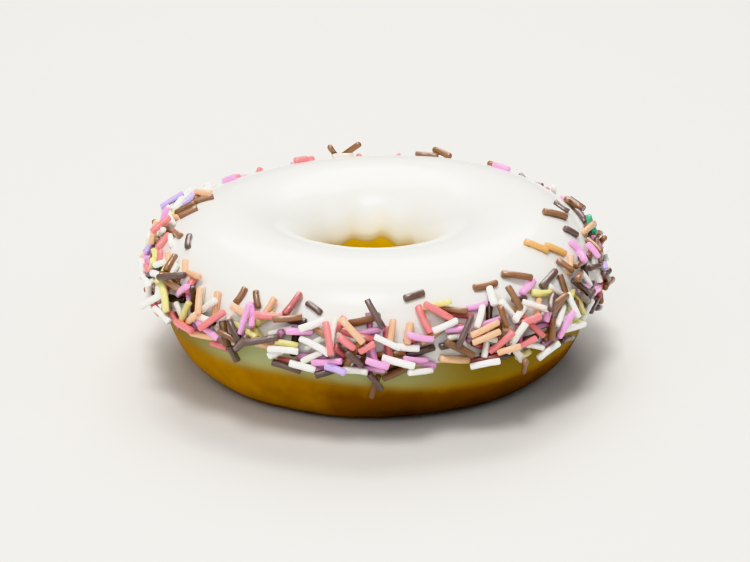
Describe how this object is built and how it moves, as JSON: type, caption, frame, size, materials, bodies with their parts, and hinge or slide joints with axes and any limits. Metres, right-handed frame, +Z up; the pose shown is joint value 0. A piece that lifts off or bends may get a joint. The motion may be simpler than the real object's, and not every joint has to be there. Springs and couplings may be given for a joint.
{
  "type": "iced doughnut",
  "caption": "Ring doughnut of fried dough with a glossy coat of white icing over its upper half and coloured sugar strands round its flank.",
  "frame": {"origin": "on the surface that the doughnut rests on, under the middle of its bounding box", "axes": "+Z up, along the hole; -Y towards the front; +X to the right as seen from the front"},
  "size_m": [0.0892, 0.0898, 0.032],
  "materials": {
    "dough": "fried yeast dough: golden crust with a faint oily sheen, paler along the belt under the icing",
    "icing": "set white sugar icing, smooth and softly glossy",
    "strand_chocolate": "waxed milk-chocolate sugar strand",
    "strand_dark": "waxed dark chocolate sugar strand",
    "strand_pink": "waxed sugar strand",
    "strand_white": "waxed sugar strand",
    "strand_orange": "waxed sugar strand",
    "strand_coral": "waxed sugar strand",
    "strand_yellow": "waxed sugar strand",
    "strand_lilac": "waxed sugar strand",
    "strand_green": "waxed sugar strand",
    "strand_amber": "waxed sugar strand"
  },
  "bodies": {
    "root": {"dough_ring": "dough", "icing": "icing"}
  },
  "joints": []
}
